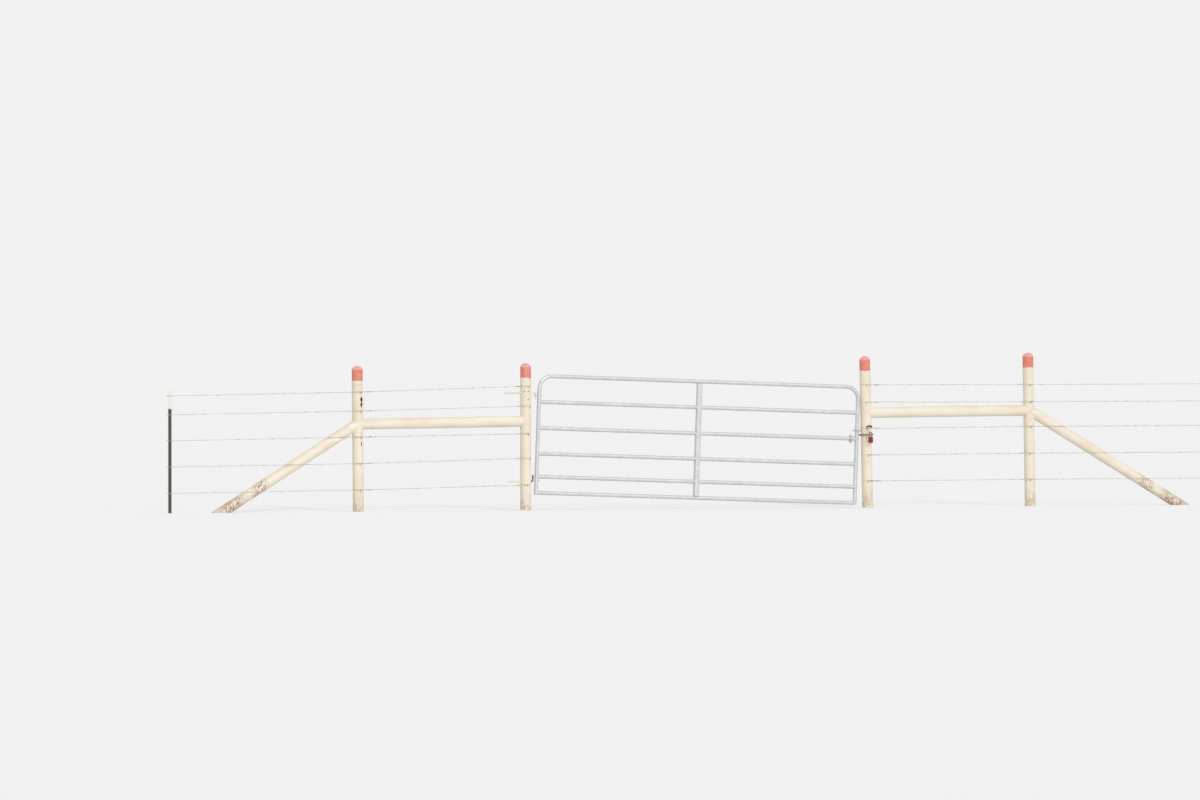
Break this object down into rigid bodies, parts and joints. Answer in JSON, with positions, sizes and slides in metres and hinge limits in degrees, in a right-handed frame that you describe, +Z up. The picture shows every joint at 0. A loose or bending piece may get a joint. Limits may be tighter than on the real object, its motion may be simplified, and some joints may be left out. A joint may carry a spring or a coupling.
{
  "type": "pipe gateway with tube gate",
  "caption": "Farm gateway between barbed wire fence ends: white pipe posts with rails and diagonal braces, and a galvanised tube gate hung on hooked bolts.",
  "frame": {"origin": "centre of the hinge post's foot, at ground level", "axes": "+X along the fence from the hinge post to the latch post, +Y away from the side the wires are on, +Z up"},
  "size_m": [12.051, 0.1569, 1.63],
  "materials": {
    "white_paint": "weathered cream white gloss on steel pipe, rust at the welds and feet",
    "red_paint": "faded salmon red over the white",
    "galvanised": "galvanised, dull and slightly streaked",
    "green_paint": "dark olive, matt, with a white tip",
    "wire": "galvanised wire gone brown",
    "rusty_steel": "rusty"
  },
  "bodies": {
    "gateway": {"left_brace_post": "white_paint", "hinge_post": "white_paint", "latch_post": "white_paint", "right_brace_post": "white_paint", "left_brace_cap": "red_paint", "hinge_cap": "red_paint", "latch_cap": "red_paint", "right_brace_cap": "red_paint", "left_brace_rail": "white_paint", "right_brace_rail": "white_paint", "left_diagonal_brace": "white_paint", "right_diagonal_brace": "white_paint", "left_line_post": "green_paint", "right_line_post": "green_paint", "left_post_clips": "wire", "right_post_clips": "wire", "left_fence_wires": "wire", "right_fence_wires": "wire", "left_wire_ties": "wire", "right_wire_ties": "wire", "upper_hinge_hook": "white_paint", "lower_hinge_hook": "rusty_steel", "hinge_hook_nuts": "white_paint", "latch_chain": "rusty_steel", "padlock": "rusty_steel"},
    "gate": {"gate_frame": "galvanised", "gate_rail_2": "galvanised", "gate_rail_3": "galvanised", "gate_rail_4": "galvanised", "gate_rail_5": "galvanised", "gate_bottom_rail": "galvanised", "gate_stay": "galvanised", "upper_hinge_eye": "galvanised", "lower_hinge_eye": "galvanised", "hinge_eye_nuts": "galvanised", "gate_chain": "galvanised"}
  },
  "joints": [
    {"name": "gate_swing", "type": "hinge", "parent": "gateway", "child": "gate", "pos_m": [0.081, 0, 0.31585], "axis": [0.0366, 0, 0.9993], "range_deg": [-90, 90]}
  ]
}
